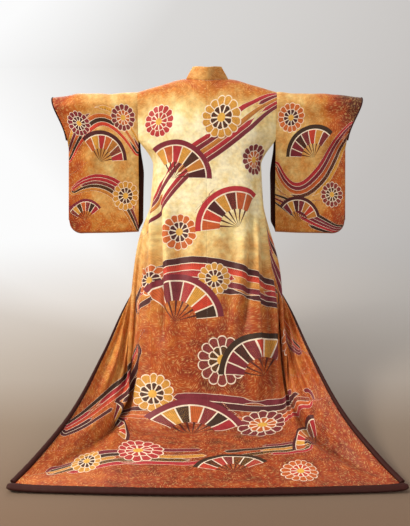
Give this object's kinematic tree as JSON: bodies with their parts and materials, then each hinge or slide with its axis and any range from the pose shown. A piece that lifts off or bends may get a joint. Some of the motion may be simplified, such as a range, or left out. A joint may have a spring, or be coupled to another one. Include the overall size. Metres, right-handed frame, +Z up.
{
  "type": "kimono",
  "caption": "Trailing kimono in golden silk, hollow, held up at the shoulders with sleeves spread and skirts fanned out on the floor.",
  "frame": {"origin": "between the shoulders, at the height of the neck seam, where the wearer holds the garment up", "axes": "+Z up, front towards -Y, the garment's own left towards +X"},
  "size_m": [1.4164, 1.1422, 1.429],
  "materials": {
    "gold_silk": "soft dyed silk with a low sheen",
    "maroon_lining": "soft dark silk lining, padded at the hem"
  },
  "bodies": {
    "root": {"body_left": "gold_silk", "body_right": "gold_silk", "overlap_left": "gold_silk", "overlap_right": "gold_silk", "sleeve_left": "gold_silk", "sleeve_right": "gold_silk", "collar": "gold_silk", "hem_roll": "maroon_lining", "edge_roll_left": "maroon_lining", "edge_roll_right": "maroon_lining", "furi_lining_left": "maroon_lining", "furi_lining_right": "maroon_lining", "cuff_roll_left": "maroon_lining", "cuff_roll_right": "maroon_lining"}
  },
  "joints": []
}
